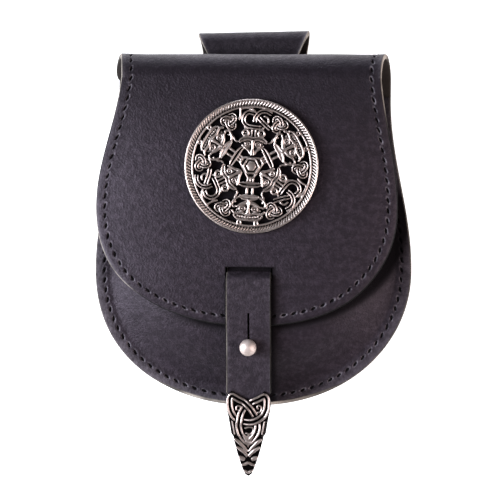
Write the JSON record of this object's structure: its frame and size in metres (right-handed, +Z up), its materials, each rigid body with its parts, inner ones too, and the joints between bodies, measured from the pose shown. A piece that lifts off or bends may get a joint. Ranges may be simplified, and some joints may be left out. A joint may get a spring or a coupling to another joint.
{
  "type": "belt bag",
  "caption": "Flat black leather belt bag with a rolled flap, a pierced round cast mount, a strap buttoned on a stud with a cast pointed end, and a folded belt loop behind.",
  "frame": {"origin": "on the surface that the bag lies on, under the middle of its box", "axes": "the bag lies on its back: +Z up, out of its front; +Y towards its rolled top and belt loop; +X to the right of its front"},
  "size_m": [0.1436, 0.2022, 0.0365],
  "materials": {
    "black_leather": "dyed through black, waxed and lightly rubbed, with paler cut edges",
    "antique_silver": "cast and silver plated, blackened in the recesses and rubbed bright on the crests"
  },
  "bodies": {
    "root": {"back_and_flap": "black_leather", "front_panel": "black_leather", "belt_loop": "black_leather", "closing_strap": "black_leather", "button_stud": "antique_silver", "strap_end": "antique_silver", "disc_mount": "antique_silver"}
  },
  "joints": []
}
